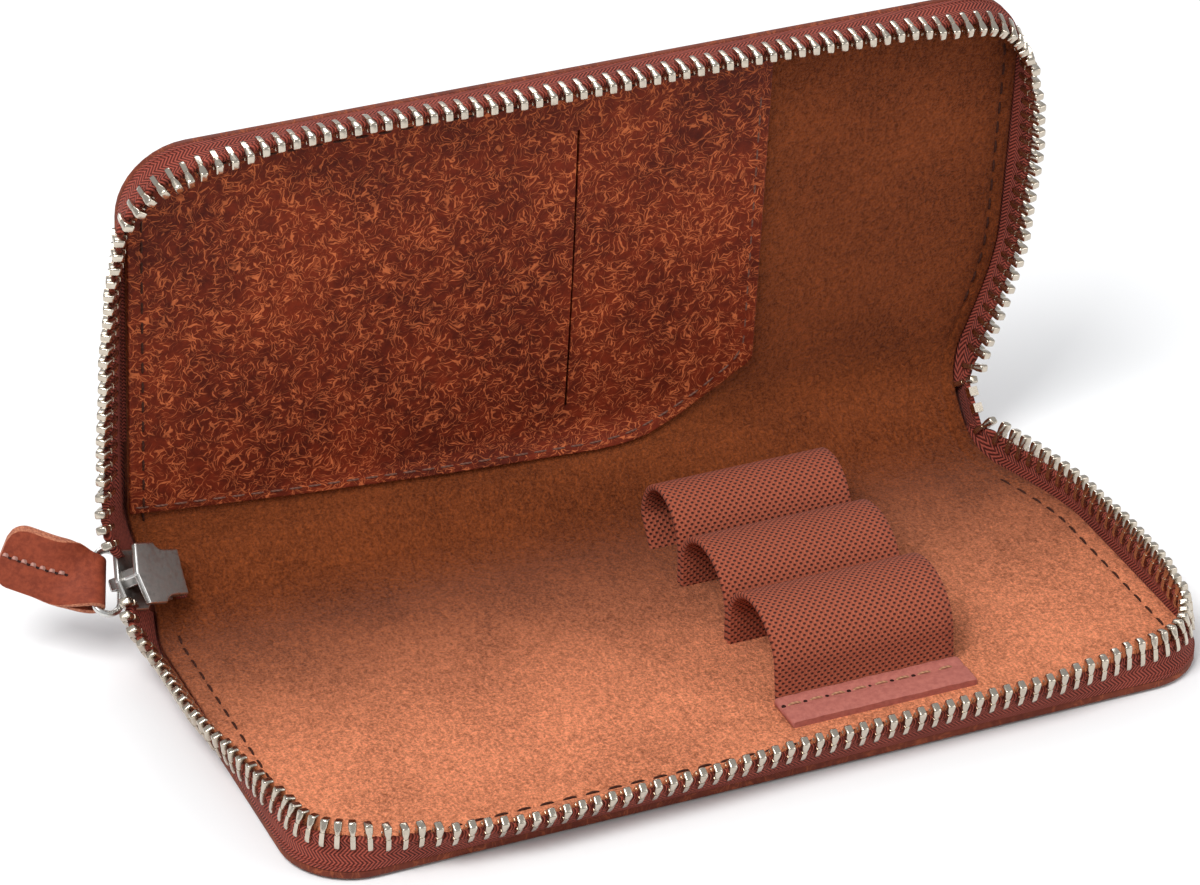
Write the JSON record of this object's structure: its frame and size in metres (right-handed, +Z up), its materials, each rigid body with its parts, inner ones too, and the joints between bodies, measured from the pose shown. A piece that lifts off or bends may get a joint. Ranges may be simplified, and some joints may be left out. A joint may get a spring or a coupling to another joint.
{
  "type": "zippered pen case",
  "caption": "Zippered pen case of leather, standing open: tray with elastic pen loops, lid with a slip pocket, metal-toothed zip with a leather pull.",
  "frame": {"origin": "middle of the tray's underside, which rests on the table", "axes": "+X along the case towards its right end, +Y back towards the spine, +Z up"},
  "size_m": [0.1886, 0.0934, 0.0911],
  "materials": {
    "cover_leather": "waxed dark red-brown leather, matt",
    "pocket_leather": "pull-up leather, deep red-brown with lighter creases",
    "tab_leather": "smooth pinkish brown leather",
    "pull_leather": "brick red leather with a raw edge",
    "suede_lining": "suede with a short nap",
    "zip_tape": "woven herringbone tape",
    "elastic": "ribbed knitted elastic",
    "nickel_teeth": "polished nickel",
    "slider_zinc": "satin grey with polished edges",
    "link_steel": "polished wire",
    "board": "grey-brown stiffening board",
    "dark_thread": "waxed dark brown thread",
    "light_thread": "light pinkish thread",
    "tan_thread": "tan thread"
  },
  "bodies": {
    "tray": {"cover_tray_panel": "cover_leather", "tray_board": "board", "tray_lining": "suede_lining", "tray_zip_tape": "zip_tape", "tray_zip_teeth": "nickel_teeth", "tray_seam_stitches": "dark_thread", "band_tab": "tab_leather", "band_tab_stitches": "tan_thread", "pen_loop_front": "elastic", "pen_loop_middle": "elastic", "pen_loop_back": "elastic", "cover_lower_crease": "cover_leather", "lining_lower_crease": "suede_lining", "tray_tape_left_end": "zip_tape", "tray_teeth_left_end": "nickel_teeth", "tray_tape_right_end": "zip_tape", "tray_teeth_right_end": "nickel_teeth"},
    "spine": {"cover_spine_strip": "cover_leather", "lining_spine_strip": "suede_lining", "zip_end_tab": "zip_tape", "zip_top_stops": "nickel_teeth", "zip_tail_tape": "zip_tape", "zip_bottom_stop": "nickel_teeth"},
    "lid": {"cover_lid_panel": "cover_leather", "lid_board": "board", "lid_lining": "suede_lining", "lid_zip_tape": "zip_tape", "lid_zip_teeth": "nickel_teeth", "lid_seam_stitches": "dark_thread", "pocket_panel": "pocket_leather", "pocket_stitches": "light_thread", "cover_upper_crease": "cover_leather", "lining_upper_crease": "suede_lining", "pocket_point": "pocket_leather", "pocket_point_stitches": "light_thread", "lid_tape_left_end": "zip_tape", "lid_teeth_left_end": "nickel_teeth", "lid_tape_right_end": "zip_tape", "lid_teeth_right_end": "nickel_teeth"},
    "slider": {"slider_body": "slider_zinc", "slider_crown": "slider_zinc"},
    "pull_link": {"pull_link": "link_steel"},
    "pull_tab": {"pull_leather": "pull_leather", "pull_stitches": "light_thread"}
  },
  "joints": [
    {"name": "spine_fold", "type": "hinge", "parent": "tray", "child": "spine", "pos_m": [0, 0.0369, 0.0008], "axis": [1, 0, 0], "range_deg": [-47.4, 42.6], "deforming": ["cover_lower_crease", "lining_lower_crease", "tray_tape_left_end", "tray_teeth_left_end", "tray_tape_right_end", "tray_teeth_right_end"]},
    {"name": "lid_fold", "type": "hinge", "parent": "spine", "child": "lid", "pos_m": [0, 0.05064, 0.01574], "axis": [1, 0, 0], "range_deg": [-47.4, 42.6], "deforming": ["cover_upper_crease", "lining_upper_crease", "pocket_point", "pocket_point_stitches", "lid_tape_left_end", "lid_teeth_left_end", "lid_tape_right_end", "lid_teeth_right_end"]},
    {"name": "slider_travel", "type": "slide", "parent": "spine", "child": "slider", "axis": [-0.766, -0.4732, 0.4351], "range_m": [0, 0.006]},
    {"name": "pull_link_swing", "type": "hinge", "parent": "slider", "child": "pull_link", "pos_m": [-0.08457, 0.0381, 0.01348], "axis": [0.3116, 0.8108, 0.4955], "range_deg": [-80, 15]},
    {"name": "pull_tab_swing", "type": "hinge", "parent": "pull_link", "child": "pull_tab", "pos_m": [-0.08881, 0.03898, 0.01471], "axis": [0.3116, 0.8108, 0.4955], "range_deg": [-50, 50]}
  ],
  "couplings": [
    {"joint": "lid_fold", "follows": "spine_fold", "ratio": 1}
  ]
}
